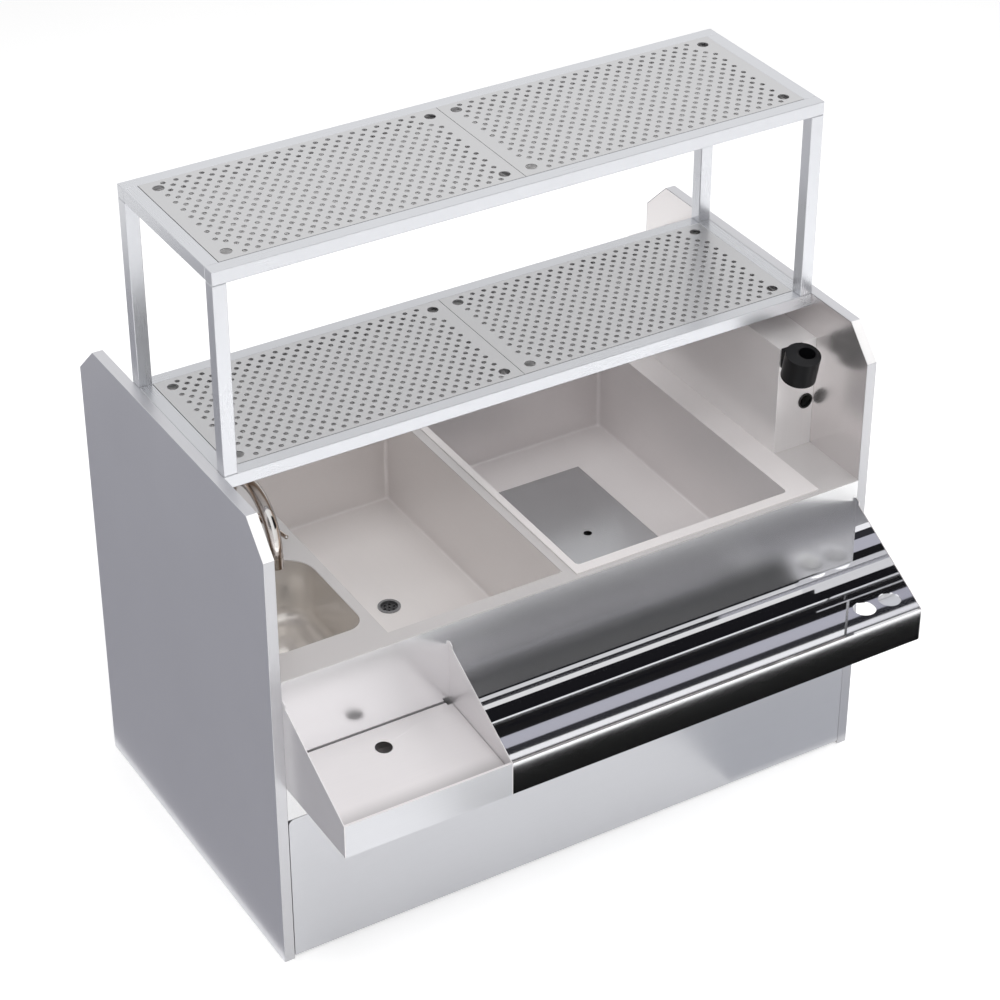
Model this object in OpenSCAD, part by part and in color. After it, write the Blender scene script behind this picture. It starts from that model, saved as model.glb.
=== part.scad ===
/* [Cabinet] */
// Overall width over the two side panels
body_w = 1200; // [1000:10:1600]
// Depth of the cabinet, without the trough in front
cab_d = 700; // [690:5:800]
// Height of the side panels
side_h = 900; // [860:5:1000]
// Thickness of a side panel
side_t = 20; // [15:1:30]
// Height of the slanted top corners of a side panel
slant_h = 60; // [30:1:90]
// Depth of the slanted corner at the front
slant_front_d = 54; // [30:1:90]
// Depth of the slanted corner at the back
slant_back_d = 62; // [30:1:90]
// Thickness of the folded sheet
sheet_t = 1.5; // [1:0.1:2.5]
// Height of the work deck above the floor
deck_h = 600; // [560:5:640]
// Height of the upstand at the back of the deck
upstand_h = 80; // [40:5:120]
// Depth of the boxed upstand
upstand_d = 30; // [20:1:35]
// Height of the lift-off panel at the front
access_h = 300; // [200:5:330]
// Height of the turned-down edges of the cabinet's floor
plinth_h = 40; // [30:1:80]

/* [Hand basin] */
// Width of the bay that holds the hand basin
hand_bay_w = 215; // [212:1:260]
// Gap between the side panel and the bowl
bowl_side = 13; // [11:1:16]
// Width of the bowl
bowl_w = 183; // [150:1:186]
// Length of the bowl from front to back
bowl_l = 244; // [200:1:280]
// Depth of the bowl
bowl_depth = 125; // [90:1:160]
// Radius of the bowl's corners in front
bowl_r = 33; // [31:1:60]
// Radius of its corners at the back
bowl_back_r = 60; // [40:1:70]
// Radius between the bowl's wall and its floor
bowl_floor_r = 30; // [10:1:32]
// Distance of the bowl from the deck's front edge
bowl_front = 68; // [50:1:90]

/* [Sink and ice bin] */
// Width of the sink
sink_w = 340; // [300:5:360]
// Depth of the sink
sink_depth = 202; // [150:1:230]
// Width of the strip between sink and ice bin
gap_w = 31; // [29:1:50]
// Depth of the ice bin
ice_depth = 190; // [150:1:230]
// Width of the bay to the right of the ice bin
gun_bay_w = 133; // [120:1:180]
// Distance of both wells from the deck's front edge
well_front = 30; // [28:1:45]
// Distance of both wells from the cabinet's back
well_back = 50; // [48:1:80]
// Corner radius of the wells
well_r = 8; // [6:0.5:14]
// Radius between the walls and the floor of the wells
well_floor_r = 5; // [2:0.5:5.5]
// Thickness of the foam round the ice bin
foam_t = 25; // [12:1:26]
// Width of the ice bin's rim on the sink side
ice_rim_l = 14; // [8:1:16]
// Width of the ice bin's rim on the right
ice_rim_r = 53; // [20:1:55]
// Width of the ice bin's rim at the front
ice_rim_f = 22; // [10:1:24]
// Width of the ice bin's rim at the back
ice_rim_b = 11; // [8:1:16]
// Width of the loose plate in the ice bin's floor
ice_plate_w = 211; // [160:1:260]
// Length of the loose plate
ice_plate_l = 402; // [300:1:440]
// Depth of the sump under the loose plate
sump_depth = 18; // [12:1:30]
// Diameter of the hole in the loose plate
ice_hole_d = 16; // [10:1:25]

/* [Wastes] */
// Diameter of a waste's flange
waste_flange_d = 42; // [40:1:60]
// Outer diameter of a waste's tail
tail_d = 32; // [30:1:34]
// Wall of the tails and pipes
pipe_t = 2; // [1.5:0.1:2.5]
// Drop of the collecting pipe's axis below the deck
manifold_drop = 318; // [312:1:340]
// Outer diameter of the collecting pipe and the outlet
pipe_d = 40; // [38:1:44]
// Diameter of the bottle trap
trap_d = 70; // [60:1:90]
// Height of the bottle trap
trap_h = 100; // [80:1:120]
// Drop of the trap's outlet below its top
trap_out_drop = 33; // [26:1:50]

/* [Tap] */
// Distance of the tap behind the bowl
tap_back = 72; // [50:1:100]
// Diameter of the tap's base flange
tap_flange_d = 52; // [46:1:60]
// Diameter of the tap's body
tap_body_d = 42; // [38:1:44]
// Height of the tap's body above the deck
tap_body_h = 62; // [56:1:80]
// Diameter of the spout's tube
spout_d = 24; // [18:1:26]
// Radius of the swan neck
neck_r = 86; // [60:1:90]
// Height of the swan neck's centre above the deck
neck_rise = 94; // [85:1:120]
// Length of the straight end of the spout
spout_drop = 8; // [4:1:14]
// Diameter of the nozzle
nozzle_d = 25; // [22:1:30]
// Length of the nozzle
nozzle_h = 22; // [14:1:30]
// Length of the lever
lever_l = 80; // [50:1:84]
// Angle of the lever outwards from straight ahead
lever_out = 10; // [0:1:20]

/* [Bar gun bay] */
// Width of the housing for the bar gun's lines
housing_w = 80; // [70:1:95]
// Height of the housing above the deck
housing_h = 220; // [150:1:250]
// Distance of the housing from the deck's front edge
housing_front = 148; // [120:1:200]
// Distance of the housing from the cabinet's back
housing_back = 60; // [40:1:100]
// Outer diameter of the bar gun's holster
holster_d = 64; // [50:1:66]
// Height of the holster
holster_h = 52; // [40:1:80]
// Diameter of the holster's bore
holster_bore_d = 31; // [24:1:36]
// Forward tilt of the holster
holster_tilt = 12; // [0:1:20]
// Bore of the hose grommet
hose_d = 25; // [18:1:25]

/* [Racks] */
// Height of the upper rack above the floor
rack_top = 1275; // [1150:5:1400]
// Depth of both racks
rack_d = 345; // [300:1:400]
// Distance of both racks from the cabinet's front
rack_front = 171; // [140:1:230]
// Width of the square tube
tube_w = 25; // [22:1:30]
// Wall of the square tube
tube_t = 1.5; // [1:0.1:2.5]
// Height of a lift-out panel with its turned-down edges
panel_h = 15; // [10:1:16]
// Diameter of the small holes in a panel
perf_d = 9; // [6:0.5:11]
// Step of the small holes along a row
perf_step_x = 23.2; // [20:0.1:30]
// Step from row to row
perf_step_y = 14.2; // [13:0.1:20]
// Distance of the small holes from a panel's side edges
perf_side = 22; // [18:1:40]
// Distance of the small holes from a panel's long edges
perf_long = 8; // [7:1:30]
// Diameter of the finger holes in a panel's corners
finger_d = 20; // [16:1:24]
// Distance of a finger hole from the panel's edges
finger_in = 25; // [20:1:35]

/* [Trough] */
// Reach of the trough in front of the cabinet
rail_d = 205; // [150:5:240]
// Thickness of the trough's sheet
rail_t = 2; // [1.5:0.1:3]
// Depth of the trough's floor below the deck
rail_drop = 222; // [180:1:240]
// Height of the trough's front lip
lip_h = 65; // [40:1:90]
// Depth of the turned-in edge of the lip
hem_d = 5; // [4:0.5:8]
// Height of the turned-in edge of the lip
hem_h = 3; // [2.5:0.5:6]
// Height of the trough's back above its floor
rail_back_h = 46; // [44:1:120]
// Inner radius between the back and the floor of the trough
crease_r = 41; // [20:1:43]
// Depth of the end plates' top corner below the deck
end_drop = 44; // [20:1:80]
// Width of the tray at the left end of the trough
tray_w = 314; // [250:1:400]
// Rise of the loose tray plate above the trough's floor at the back
plate_rise = 62; // [50:1:80]
// Fall of the tray plate from back to front
plate_fall = 14; // [0:1:20]
// Diameter of the hole in the tray plate
tray_hole_d = 30; // [20:1:40]
// Distance of the hole in the tray plate from the cabinet's front
tray_hole_in = 51; // [30:1:80]
// Diameter of the outlet in the bottle rail
rail_hole_d = 42; // [30:1:46]

/* [Hidden] */
$fn = 64;

// Clearance round pieces that lift out
play = 0.5;
// Clearance under a piece that rests on another
rest_gap = 0.3;
// How far a cut runs past the faces that it opens
over = 2;
// Widths of turned edges
flange_w = 9;
fascia_flange = 25;
access_flange = 14;
// Clearance between the access panel and its frame
access_gap = 1;
// Height of the access panel's lower edge above the floor
access_z = 8;
// Corner radius of the access panel
access_r = 12;
// Size of a catch
catch_w = 40;
catch_h = 12;
catch_in = 120;
// Width of the deck sheet behind the bowl
collar_w = 20;
// Section of the bearers under the deck
bearer_w = 12;
bearer_h = 25;
// Height of the ice bin's rim above the deck
rim_t = 2;
// Waste parts
flange_t = 2;
waste_body_d = 37;
waste_body_h = 30;
strainer_d = 31;
strainer_t = 2;
strainer_in = 4;
strainer_hole_d = 5;
strainer_ring_share = 0.62;
strainer_holes = 6;
stub_h = 16;
trap_step = 85;
outlet_z = 8;
outlet_wall_h = 52;
coupling_h = 40;
coupling_t = 3;
// Holes in the cabinet's floor for the outlet and the water supply
pass_d = 64;
// Tap parts
tap_flange_t = 6;
tap_hole_d = 34;
shank_d = 30;
shank_h = 46;
backnut_d = 48;
backnut_h = 10;
boss_d = 36;
boss_l = 34;
boss_below = 16;
collar_d = 32;
collar_h = 8;
spigot_h = 14;
water_d = 12;
cartridge_d = 28;
cartridge_l = 24;
stem_d = 9;
stem_l = 6;
cap_l = 12;
cap_d = 34;
spout_t = 2;
// Clearance between faces that turn on each other, and round a pin that turns in its bore
run_gap = 0.3;
pin_gap = 0.05;
ball_d = 16;
ball_out = 5.5;
lever_d = 11;
lever_tip_d = 8;
tail_pipe_d = 10;
tail_pipe_t = 1;
tail_pipe_l = 90;
tail_spread = 14;
// Holster parts
holster_gap = 3;
holster_floor_t = 6;
holster_drain_d = 10;
holster_bore_x = 8;
holster_shift = -23;
holster_lift = 8;
saddle_w = 44;
saddle_h = 38;
// Grommet parts
grommet_lip = 2.4;
grommet_wall = 1.2;
grommet_t = 2;
hose_side = 17;
hose_up = 94;
// Trough parts
tab_w = 9;
tab_h = 7;
notch_w = 7;
plate_t = 1.5;
plate_gap = 1;
rail_hole_side = 28;
rail_hole_in = 84;
arc_steps = 8;
// Facets round a full turn of a pressed corner
bowl_facets = 40;

// Main planes: x to the right, y to the back, z up, origin under the middle of the whole
total_d = cab_d + rail_d;
front_y = rail_d - total_d / 2;
back_y = total_d / 2;
left_x = -body_w / 2;
in_l = left_x + side_t;
shelf_y0 = front_y + access_flange + catch_h;
shelf_y1 = back_y - sheet_t;
in_r = -in_l;
inner_w = in_r - in_l;
deck_z = deck_h - sheet_t;

// Wells
well_l = cab_d - well_front - well_back;
ice_l = well_l - 2 * (sheet_t + play);
wells_y0 = front_y + well_front;
wells_y1 = back_y - well_back;
bowl_x = in_l + bowl_side + bowl_w / 2;
bowl_y = front_y + bowl_front + bowl_l / 2;
sink_x0 = in_l + hand_bay_w;
sink_x = sink_x0 + sink_w / 2;
ice_x0 = sink_x0 + sink_w + gap_w;
ice_x1 = in_r - gun_bay_w;
ice_w = ice_x1 - ice_x0;
ice_x = (ice_x0 + ice_x1) / 2;
well_y = front_y + well_front + well_l / 2;
ice_floor_z = deck_h - ice_depth;
sink_floor_z = deck_h - sink_depth;
bowl_floor_z = deck_h - bowl_depth;
sump_floor_z = ice_floor_z - sump_depth;
sump_w = ice_plate_w + 2 * play;
sump_l = ice_plate_l + 2 * play;

// Tap
collar_y = bowl_y + bowl_l / 2 + collar_w;
tap_x = bowl_x;
tap_y = bowl_y + bowl_l / 2 + tap_back;
tap_top_z = deck_h + tap_body_h;
boss_z = tap_top_z - boss_below;
neck_z = deck_h + neck_rise;
spout_z0 = tap_top_z + collar_h + run_gap;
nozzle_y = tap_y - 2 * neck_r;
cap_x0 = tap_x + boss_l + run_gap;
ball_x = cap_x0 + cap_l + ball_out;

// Housing and holster
house_x0 = in_r - housing_w;
house_y0 = front_y + housing_front;
housing_d = cab_d - housing_front - housing_back;
holster_x = house_x0 + housing_w / 2 + holster_shift;
holster_z = deck_h + housing_h + holster_lift;
holster_y = house_y0 - holster_gap - holster_d / 2 - holster_h * sin(holster_tilt);
hose_x = in_r - hose_side;
hose_z = deck_h + hose_up;

// Racks
rack_y0 = front_y + rack_front;
rack_y1 = rack_y0 + rack_d;
pan_w = inner_w - 2 * tube_w;
pan_d = rack_d - 2 * tube_w;
panel_w = (pan_w - 4 * play) / 2;
panel_d = pan_d - 2 * play;
panel_x = panel_w / 2 + play;
ledge_z = tube_w - panel_h - rest_gap;
ledge_w = 10;
mid_bar_w = 24;

// Trough
rail_z = deck_h - rail_drop;
lip_z = rail_z + lip_h;
rail_back_z = rail_z + rail_back_h;
end_z = deck_h - end_drop;
lip_y = front_y - rail_d;
tray_x0 = in_l + rail_t;
tray_x1 = in_l + tray_w;
bottle_x0 = tray_x1 + rail_t;
bottle_x1 = in_r - rail_t;
plate_z = rail_z + plate_rise;

// Collecting pipe, and the height of a stub's end above its axis
manifold_z = deck_h - manifold_drop;
stub_reach = pipe_d / 2 + stub_h;
manifold_x1 = ice_x + (in_r - ice_x) / 2;
trap_z1 = manifold_z - pipe_d / 2 - stub_h;
trap_out_z = trap_z1 - trap_out_drop;
outlet_x = manifold_x1 + trap_step;

// A box between two corners
module block(lo, hi) {
  translate(lo) cube(hi - lo);
}

// A flat plate across x, from an outline of [y, z] points
module cross_plate(x0, t, pts) {
  translate([x0, 0, 0]) rotate([90, 0, 90]) linear_extrude(t) polygon(pts);
}

// Points of an arc
function arc(cy, cz, r, a0, a1) =
  [for (i = [0:arc_steps]) let (a = a0 + (a1 - a0) * i / arc_steps) [cy + r * cos(a), cz + r * sin(a)]];

// A rectangle with round corners, about its middle: r is the radius in front, rb at the back
module round_rect(w, l, r, rb) {
  translate([0, (r - rb) / 2]) square([w, l - r - rb], center = true);
  translate([0, -l / 4]) square([w - 2 * r, l / 2], center = true);
  translate([0, l / 4]) square([w - 2 * rb, l / 2], center = true);
  for (sx = [-1, 1]) {
    translate([sx * (w / 2 - r), r - l / 2]) circle(r = r);
    translate([sx * (w / 2 - rb), l / 2 - rb]) circle(r = rb);
  }
}

// One corner of a pressed bowl, round to the walls and to the floor
module dish_corner(r, fr, h) {
  rotate_extrude($fn = bowl_facets) translate([r - fr, 0]) intersection() {
    circle(r = fr, $fn = bowl_facets);
    translate([0, -fr]) square([fr, 2 * fr]);
  }
  cylinder(r = r, h = h - fr, $fn = bowl_facets);
}

// The room inside a pressed bowl: floor at zero, round corners and a round edge to the floor
module dish(w, l, h, r, rb, fr) {
  hull() for (sx = [-1, 1]) {
    translate([sx * (w / 2 - r), r - l / 2, fr]) dish_corner(r, fr, h);
    translate([sx * (w / 2 - rb), l / 2 - rb, fr]) dish_corner(rb, fr, h);
  }
}

// A pressed well of one sheet, open at the top, with its inner floor at zero
module well_shell(w, l, h, r, rb, fr) {
  difference() {
    translate([0, 0, -sheet_t])
      dish(w + 2 * sheet_t, l + 2 * sheet_t, h + sheet_t, r + sheet_t, rb + sheet_t, fr + sheet_t);
    dish(w, l, h + over, r, rb, fr);
  }
}

// The turned-out edge of a well that is fixed under the deck
module under_flange(w, l, r, rb) {
  linear_extrude(sheet_t) difference() {
    round_rect(w + 2 * flange_w, l + 2 * flange_w, r + flange_w, rb + flange_w);
    round_rect(w + sheet_t, l + sheet_t, r + sheet_t / 2, rb + sheet_t / 2);
  }
}

// Outline of a side panel, drawn in by a margin
function side_outline(m) = [
  [front_y + m, m], [back_y - m, m],
  [back_y - m, side_h - slant_h - m / 2], [back_y - slant_back_d - m / 2, side_h - m],
  [front_y + slant_front_d + m / 2, side_h - m], [front_y + m, side_h - slant_h - m / 2]];

module side_shell(x0, pocket_x0) {
  difference() {
    cross_plate(x0, side_t, side_outline(0));
    cross_plate(pocket_x0, side_t, side_outline(sheet_t));
  }
}

module side_panel_left() {
  color([0.66, 0.67, 0.70]) side_shell(left_x, left_x + sheet_t);
}

module side_panel_right() {
  color([0.66, 0.67, 0.70]) side_shell(in_r, in_r - sheet_t);
}

// Sheets that close the inner faces of the side panels
module side_liners() {
  color([0.72, 0.72, 0.74]) {
    cross_plate(in_l - sheet_t, sheet_t, side_outline(sheet_t));
    cross_plate(in_r, sheet_t, side_outline(sheet_t));
  }
}

// Floor of the cabinet, with a hole for the waste and one for the water supply
module floor_shelf() {
  color([0.68, 0.68, 0.70]) difference() {
    block([in_l, shelf_y0, plinth_h - sheet_t], [in_r, shelf_y1, plinth_h]);
    translate([outlet_x, well_y, 0]) cylinder(d = pass_d, h = plinth_h + over);
    translate([tap_x, tap_y, 0]) cylinder(d = pass_d, h = plinth_h + over);
  }
}

// Turned-down edges that the cabinet's floor stands on
module floor_aprons() {
  color([0.68, 0.68, 0.70]) {
    block([in_l, shelf_y0, 0], [in_r, shelf_y0 + sheet_t, plinth_h - sheet_t]);
    block([in_l, shelf_y1 - sheet_t, 0], [in_r, shelf_y1, plinth_h - sheet_t]);
  }
}

module back_panel() {
  color([0.70, 0.70, 0.73])
    block([in_l, back_y - sheet_t, 0], [in_r, back_y, deck_h + upstand_h]);
}

// Fixed front sheet behind the trough, with a turned-in lower edge
module front_fascia() {
  z0 = access_z + access_h + access_gap;
  color([0.80, 0.81, 0.84]) {
    block([in_l, front_y, z0], [in_r, front_y + sheet_t, deck_z]);
    block([in_l, front_y + sheet_t, z0], [in_r, front_y + fascia_flange, z0 + sheet_t]);
  }
}

// Lift-off front panel: a shallow folded pan with two round upper corners
module access_panel() {
  x0 = in_l + access_gap;
  x1 = in_r - access_gap;
  z1 = access_z + access_h;
  color([0.80, 0.81, 0.84]) translate([0, front_y + access_flange, 0]) rotate([90, 0, 0]) difference() {
    linear_extrude(access_flange) access_outline(x0, x1, access_z, z1, access_r);
    translate([0, 0, -over]) linear_extrude(access_flange - sheet_t + over)
      access_outline(x0 + sheet_t, x1 - sheet_t, access_z + sheet_t, z1 - sheet_t, access_r - sheet_t);
  }
}

module access_outline(x0, x1, z0, z1, r) {
  translate([x0, z0]) square([x1 - x0, z1 - r - z0]);
  translate([x0 + r, z0]) square([x1 - x0 - 2 * r, z1 - z0]);
  for (x = [x0 + r, x1 - r]) translate([x, z1 - r]) circle(r = r);
}

// Magnetic catches that the access panel's folded edge holds to
module panel_catches() {
  z1 = access_z + access_h + access_gap;
  color([0.25, 0.25, 0.27]) for (s = [-1, 1]) {
    x = s * (in_r - catch_in);
    block([x - catch_w / 2, front_y + access_flange + rest_gap, z1 - catch_h],
      [x + catch_w / 2, front_y + fascia_flange, z1]);
    block([x - catch_w / 2, front_y + access_flange + rest_gap, access_z],
      [x + catch_w / 2, front_y + access_flange + catch_h, access_z + catch_h]);
  }
}

// Openings in the deck for the bowl and the tap
module deck_holes() {
  cut_h = sheet_t + 2 * over;
  translate([bowl_x, bowl_y, deck_z - over]) linear_extrude(cut_h)
    round_rect(bowl_w, bowl_l, bowl_r, bowl_back_r);
  translate([tap_x, tap_y, deck_z - over]) cylinder(d = tap_hole_d, h = cut_h);
}

// Strips of the work deck in front of the wells and behind them
module deck_strips() {
  color([0.74, 0.73, 0.72]) {
    block([in_l, front_y, deck_z], [in_r, wells_y0, deck_h]);
    block([in_l, wells_y1, deck_z], [in_r, back_y - sheet_t, deck_h]);
  }
}

// Deck sheets between the strips: before the bowl, round the tap, between the wells and in the gun's bay
module deck_bridges() {
  color([0.74, 0.73, 0.72]) difference() {
    union() {
      block([in_l, wells_y0, deck_z], [sink_x0, bowl_y, deck_h]);
      block([in_l, collar_y, deck_z], [sink_x0, wells_y1, deck_h]);
      block([sink_x0 + sink_w, wells_y0, deck_z], [ice_x0 - sheet_t - play, wells_y1, deck_h]);
      block([ice_x1 + sheet_t + play, wells_y0, deck_z], [in_r, wells_y1, deck_h]);
    }
    deck_holes();
  }
}

// Deck sheet round the back of the bowl
module deck_collar() {
  color([0.74, 0.73, 0.72]) difference() {
    block([in_l, bowl_y, deck_z], [sink_x0, collar_y, deck_h]);
    deck_holes();
  }
}

// Boxed upstand at the back of the deck
module deck_upstand() {
  up_y = back_y - sheet_t - upstand_d;
  top_z = deck_h + upstand_h;
  color([0.74, 0.73, 0.72]) {
    block([in_l, up_y, deck_h], [in_r, up_y + sheet_t, top_z]);
    block([in_l, up_y + sheet_t, top_z - sheet_t], [in_r, back_y - sheet_t, top_z]);
  }
}

// Bearers that carry the deck between the side panels
module deck_bearers() {
  y0 = front_y + sheet_t;
  y1 = back_y - sheet_t - upstand_d;
  color([0.6, 0.6, 0.62]) {
    block([in_l, y0, deck_z - bearer_h], [in_r, y0 + bearer_w, deck_z]);
    block([in_l, y1, deck_z - bearer_h], [in_r, y1 + bearer_w, deck_z]);
  }
}

module hand_basin() {
  color([0.72, 0.70, 0.68]) translate([bowl_x, bowl_y, bowl_floor_z]) {
    difference() {
      well_shell(bowl_w, bowl_l, deck_z - bowl_floor_z, bowl_r, bowl_back_r, bowl_floor_r);
      translate([0, 0, -over - sheet_t]) cylinder(d = waste_body_d + 2 * play, h = sheet_t + 2 * over);
    }
    translate([0, 0, deck_z - bowl_floor_z - sheet_t]) under_flange(bowl_w, bowl_l, bowl_r, bowl_back_r);
  }
}

module sink_well() {
  color([0.72, 0.70, 0.68]) translate([sink_x, well_y, sink_floor_z]) {
    difference() {
      well_shell(sink_w, well_l, deck_z - sink_floor_z, well_r, well_r, well_floor_r);
      translate([0, 0, -over - sheet_t]) cylinder(d = waste_body_d + 2 * play, h = sheet_t + 2 * over);
    }
    translate([0, 0, deck_z - sink_floor_z - sheet_t]) under_flange(sink_w, well_l, well_r, well_r);
  }
}

// Ice bin: a dropped-in well whose rim lies on the deck, with an opening in its floor
module ice_well() {
  color([0.70, 0.68, 0.67]) {
    translate([ice_x, well_y, ice_floor_z]) difference() {
      well_shell(ice_w, ice_l, deck_h - ice_floor_z, well_r, well_r, well_floor_r);
      translate([-sump_w / 2, -sump_l / 2, -over - sheet_t]) cube([sump_w, sump_l, sheet_t + 2 * over]);
    }
    translate([0, 0, deck_h]) linear_extrude(rim_t) difference() {
      translate([ice_x0 - ice_rim_l, well_y - ice_l / 2 - ice_rim_f])
        square([ice_w + ice_rim_l + ice_rim_r, ice_l + ice_rim_f + ice_rim_b]);
      translate([ice_x, well_y]) round_rect(ice_w, ice_l, well_r, well_r);
    }
  }
}

// Sump welded under the ice bin, with a lug in each corner that the loose plate rests on
module ice_sump() {
  lug = sump_depth - sheet_t - rest_gap;
  color([0.68, 0.66, 0.65]) translate([ice_x, well_y, sump_floor_z]) {
    difference() {
      translate([-sump_w / 2 - sheet_t, -sump_l / 2 - sheet_t, -sheet_t])
        cube([sump_w + 2 * sheet_t, sump_l + 2 * sheet_t, sump_depth]);
      translate([-sump_w / 2, -sump_l / 2, 0]) cube([sump_w, sump_l, sump_depth]);
      translate([0, 0, -over - sheet_t]) cylinder(d = waste_body_d + 2 * play, h = sheet_t + 2 * over);
    }
    for (sx = [-1, 1], sy = [-1, 1])
      translate([sx * (sump_w - lug) / 2, sy * (sump_l - lug) / 2, lug / 2]) cube(lug, center = true);
  }
}

// Foam boards round the walls of the ice bin
module ice_foam() {
  side = min(foam_t, well_front - 2 * sheet_t - bearer_w);
  w = ice_w / 2 + sheet_t;
  l = ice_l / 2 + sheet_t;
  color([0.90, 0.86, 0.62]) translate([ice_x, well_y, 0]) {
    block([-w - foam_t, -l - side, ice_floor_z], [-w, l + side, deck_z - sheet_t]);
    block([w, -l - side, ice_floor_z], [w + foam_t, l + side, deck_z - sheet_t]);
    block([-w, -l - side, ice_floor_z], [w, -l, deck_z - sheet_t]);
    block([-w, l, ice_floor_z], [w, l + side, deck_z - sheet_t]);
  }
}

module ice_plate() {
  color([0.56, 0.58, 0.61]) translate([ice_x, well_y, ice_floor_z - sheet_t]) difference() {
    translate([-ice_plate_w / 2, -ice_plate_l / 2, 0]) cube([ice_plate_w, ice_plate_l, sheet_t]);
    translate([0, 0, -over]) cylinder(d = ice_hole_d, h = sheet_t + 2 * over);
  }
}

// A waste: flange on the well's floor, body through it, seat for a strainer and tail down to z1
module waste(z1) {
  seat_z = flange_t - strainer_in - strainer_t - rest_gap;
  difference() {
    union() {
      cylinder(d = waste_flange_d, h = flange_t);
      translate([0, 0, -waste_body_h]) cylinder(d = waste_body_d, h = waste_body_h);
      translate([0, 0, z1]) cylinder(d = tail_d, h = -waste_body_h - z1);
    }
    translate([0, 0, z1 - over]) cylinder(d = tail_d - 2 * pipe_t, h = -z1 + flange_t + 2 * over);
    translate([0, 0, seat_z]) cylinder(d = strainer_d + 2 * play, h = strainer_in + strainer_t + over);
  }
}

module basin_waste() {
  turn_z = manifold_z - bowl_floor_z;
  bore_d = tail_d - 2 * pipe_t;
  color([0.75, 0.75, 0.77]) translate([bowl_x, bowl_y, bowl_floor_z]) difference() {
    union() {
      cylinder(d = waste_flange_d, h = flange_t);
      translate([0, 0, -waste_body_h]) cylinder(d = waste_body_d, h = waste_body_h);
      translate([0, 0, turn_z]) cylinder(d = tail_d, h = -waste_body_h - turn_z);
      translate([0, 0, turn_z]) sphere(d = tail_d);
      translate([0, 0, turn_z]) rotate([-90, 0, 0]) cylinder(d = tail_d, h = well_y - bowl_y - stub_reach);
    }
    translate([0, 0, turn_z]) cylinder(d = bore_d, h = -turn_z + flange_t + over);
    translate([0, 0, turn_z]) sphere(d = bore_d);
    translate([0, 0, turn_z]) rotate([-90, 0, 0]) cylinder(d = bore_d, h = well_y - bowl_y);
  }
}

module sink_waste() {
  color([0.42, 0.42, 0.44]) translate([sink_x, well_y, sink_floor_z])
    waste(manifold_z + stub_reach - sink_floor_z);
}

// Lift-out strainer disc that rests in the sink's waste
module sink_strainer() {
  ring = strainer_d / 2 * strainer_ring_share;
  z = sink_floor_z + flange_t - strainer_in - strainer_t;
  color([0.2, 0.2, 0.22]) translate([sink_x, well_y, z]) linear_extrude(strainer_t)
    difference() {
      circle(d = strainer_d);
      circle(d = strainer_hole_d);
      for (i = [1:strainer_holes])
        rotate(i * 360 / strainer_holes) translate([ring, 0]) circle(d = strainer_hole_d);
    }
}

module ice_waste() {
  color([0.75, 0.75, 0.77]) translate([ice_x, well_y, sump_floor_z])
    waste(manifold_z + stub_reach - sump_floor_z);
}

// Collecting pipe with an upward stub under each well and a downward stub over the trap
module waste_manifold() {
  bore_d = pipe_d - 2 * pipe_t;
  tail_bore_d = tail_d - 2 * pipe_t;
  color([0.82, 0.82, 0.80]) translate([0, well_y, manifold_z]) difference() {
    union() {
      translate([bowl_x, 0, 0]) rotate([0, 90, 0]) cylinder(d = pipe_d, h = manifold_x1 - bowl_x);
      for (x = [sink_x, ice_x]) translate([x, 0, 0]) cylinder(d = tail_d, h = stub_reach);
      translate([bowl_x, 0, 0]) rotate([90, 0, 0]) cylinder(d = tail_d, h = stub_reach);
      translate([bowl_x, 0, 0]) sphere(d = pipe_d);
      translate([manifold_x1, 0, 0]) sphere(d = pipe_d);
      translate([manifold_x1, 0, -stub_reach]) cylinder(d = pipe_d, h = stub_reach);
    }
    translate([bowl_x, 0, 0]) rotate([0, 90, 0]) cylinder(d = bore_d, h = manifold_x1 - bowl_x);
    for (x = [sink_x, ice_x]) translate([x, 0, 0]) cylinder(d = tail_bore_d, h = stub_reach + over);
    translate([bowl_x, 0, 0]) rotate([90, 0, 0]) cylinder(d = tail_bore_d, h = stub_reach + over);
    translate([manifold_x1, 0, -stub_reach - over]) cylinder(d = bore_d, h = stub_reach + over);
  }
}

// Bottle trap, with its outlet going down through the cabinet's floor
module waste_trap() {
  bore_d = pipe_d - 2 * pipe_t;
  color([0.86, 0.86, 0.84]) translate([0, well_y, 0]) difference() {
    union() {
      translate([manifold_x1, 0, trap_z1 - trap_h]) cylinder(d = trap_d, h = trap_h);
      translate([manifold_x1, 0, trap_out_z]) rotate([0, 90, 0]) cylinder(d = pipe_d, h = trap_step);
      translate([outlet_x, 0, trap_out_z]) sphere(d = pipe_d);
      translate([outlet_x, 0, outlet_z]) cylinder(d = pipe_d, h = trap_out_z - outlet_z);
      translate([outlet_x, 0, outlet_z + outlet_wall_h])
        cylinder(d = pipe_d + 2 * coupling_t, h = coupling_h);
    }
    translate([manifold_x1, 0, trap_z1 - trap_h + pipe_t])
      cylinder(d = trap_d - 2 * pipe_t, h = trap_h - 2 * pipe_t);
    translate([manifold_x1, 0, trap_z1 - pipe_t - over]) cylinder(d = bore_d, h = pipe_t + 2 * over);
    translate([manifold_x1, 0, trap_out_z]) rotate([0, 90, 0]) cylinder(d = bore_d, h = trap_step);
    translate([outlet_x, 0, outlet_z - over]) cylinder(d = bore_d, h = trap_out_z - outlet_z + over);
  }
}

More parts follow.
